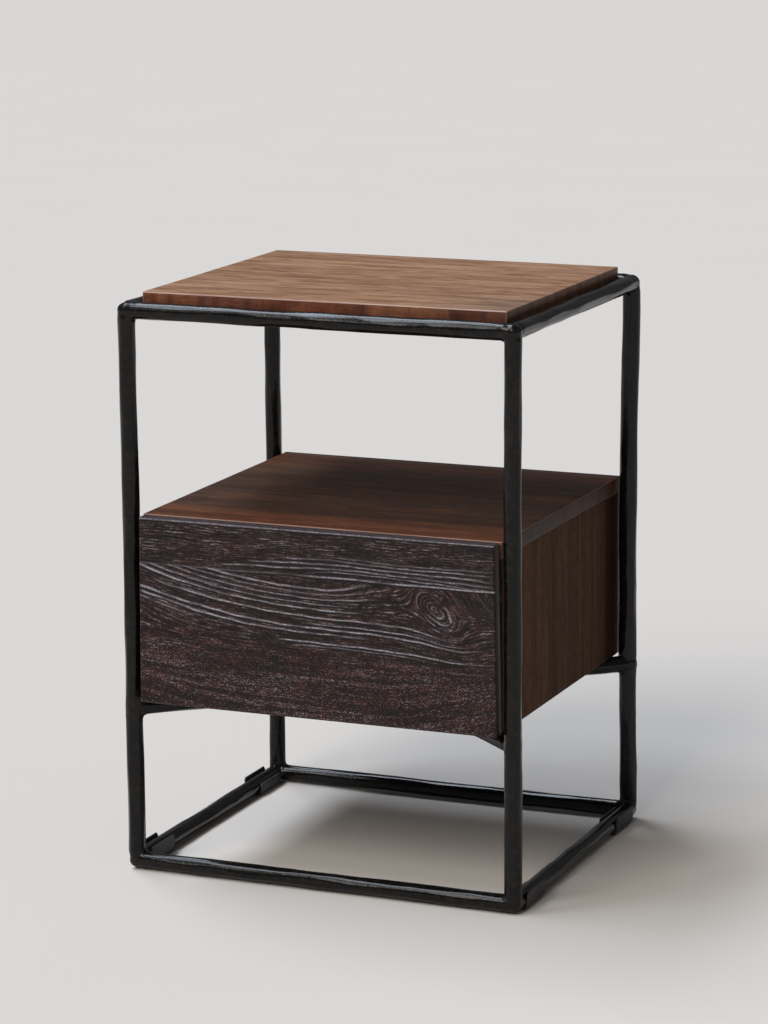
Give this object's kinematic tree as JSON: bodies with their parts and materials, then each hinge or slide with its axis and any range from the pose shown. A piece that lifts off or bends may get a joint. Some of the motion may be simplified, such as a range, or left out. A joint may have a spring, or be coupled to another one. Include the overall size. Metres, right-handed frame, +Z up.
{
  "type": "side table with drawer",
  "caption": "Side table: a forged round-bar iron frame with an inset wooden top, an open shelf bay and a hanging wooden cabinet with a handle-less brushed-grain drawer.",
  "frame": {"origin": "centre of the bounding box at floor level", "axes": "+Z up, the drawer front faces -Y, +X to the right seen from the front"},
  "size_m": [0.4156, 0.36, 0.574],
  "materials": {
    "iron": "satin black hammered",
    "tabletop_wood": "oiled",
    "cabinet_wood": "oiled dark",
    "drawer_front_wood": "wire brushed",
    "drawer_box_wood": "plain",
    "steel": "zinc plated",
    "plastic": "moulded",
    "glide_rubber": "matte"
  },
  "bodies": {
    "base": {"post_front_left": "iron", "post_front_right": "iron", "post_rear_left": "iron", "post_rear_right": "iron", "top_rail_front": "iron", "top_rail_rear": "iron", "top_rail_left": "iron", "top_rail_right": "iron", "base_rail_front": "iron", "base_rail_rear": "iron", "base_rail_left": "iron", "base_rail_right": "iron", "cross_bar_lower": "iron", "cross_bar_upper": "iron", "tabletop_tabs": "iron", "tabletop_screws": "steel", "tabletop": "tabletop_wood", "floor_glides": "glide_rubber", "cabinet_screws": "steel", "cabinet_top": "cabinet_wood", "cabinet_bottom": "cabinet_wood", "cabinet_side_left": "cabinet_wood", "cabinet_side_right": "cabinet_wood", "cabinet_back": "cabinet_wood", "cabinet_back_screws": "steel", "cabinet_dowels": "drawer_box_wood", "cabinet_pads": "glide_rubber", "slide_outer_left": "steel", "slide_outer_right": "steel", "slide_screws_cabinet": "steel", "latch_housing": "plastic", "latch_spring": "steel", "latch_screws": "steel"},
    "drawer": {"drawer_front": "drawer_front_wood", "drawer_box_front": "drawer_box_wood", "drawer_box_back": "drawer_box_wood", "drawer_side_left": "drawer_box_wood", "drawer_side_right": "drawer_box_wood", "drawer_bottom": "drawer_box_wood", "drawer_dowels": "drawer_box_wood", "drawer_front_screws": "steel", "slide_inner_left": "steel", "slide_inner_right": "steel", "slide_screws_drawer": "steel", "latch_strike": "steel"},
    "slide_middle_left": {"slide_middle_left": "steel"},
    "outer_cage_left": {"outer_cage_left": "plastic", "outer_balls_left": "steel"},
    "inner_cage_left": {"inner_cage_left": "plastic", "inner_balls_left": "steel"},
    "slide_middle_right": {"slide_middle_right": "steel"},
    "outer_cage_right": {"outer_cage_right": "plastic", "outer_balls_right": "steel"},
    "inner_cage_right": {"inner_cage_right": "plastic", "inner_balls_right": "steel"},
    "latch_plunger": {"latch_plunger": "steel"}
  },
  "joints": [
    {"name": "drawer_slide", "type": "slide", "parent": "base", "child": "drawer", "axis": [0, -1, 0], "range_m": [0, 0.22]},
    {"name": "slide_middle_left_slide", "type": "slide", "parent": "base", "child": "slide_middle_left", "axis": [0, -1, 0], "range_m": [0, 0.11]},
    {"name": "slide_middle_right_slide", "type": "slide", "parent": "base", "child": "slide_middle_right", "axis": [0, -1, 0], "range_m": [0, 0.11]},
    {"name": "outer_cage_left_slide", "type": "slide", "parent": "base", "child": "outer_cage_left", "axis": [0, -1, 0], "range_m": [0, 0.055]},
    {"name": "outer_cage_right_slide", "type": "slide", "parent": "base", "child": "outer_cage_right", "axis": [0, -1, 0], "range_m": [0, 0.055]},
    {"name": "inner_cage_left_slide", "type": "slide", "parent": "base", "child": "inner_cage_left", "axis": [0, -1, 0], "range_m": [0, 0.165]},
    {"name": "inner_cage_right_slide", "type": "slide", "parent": "base", "child": "inner_cage_right", "axis": [0, -1, 0], "range_m": [0, 0.165]},
    {"name": "latch_press", "type": "slide", "parent": "base", "child": "latch_plunger", "axis": [0, 1, 0], "range_m": [0, 0.004], "stiffness_N_per_m": 300, "deforming": ["latch_spring"]}
  ],
  "couplings": [
    {"joint": "slide_middle_left_slide", "follows": "drawer_slide", "ratio": 0.5},
    {"joint": "slide_middle_right_slide", "follows": "drawer_slide", "ratio": 0.5},
    {"joint": "outer_cage_left_slide", "follows": "drawer_slide", "ratio": 0.25},
    {"joint": "outer_cage_right_slide", "follows": "drawer_slide", "ratio": 0.25},
    {"joint": "inner_cage_left_slide", "follows": "drawer_slide", "ratio": 0.75},
    {"joint": "inner_cage_right_slide", "follows": "drawer_slide", "ratio": 0.75}
  ]
}
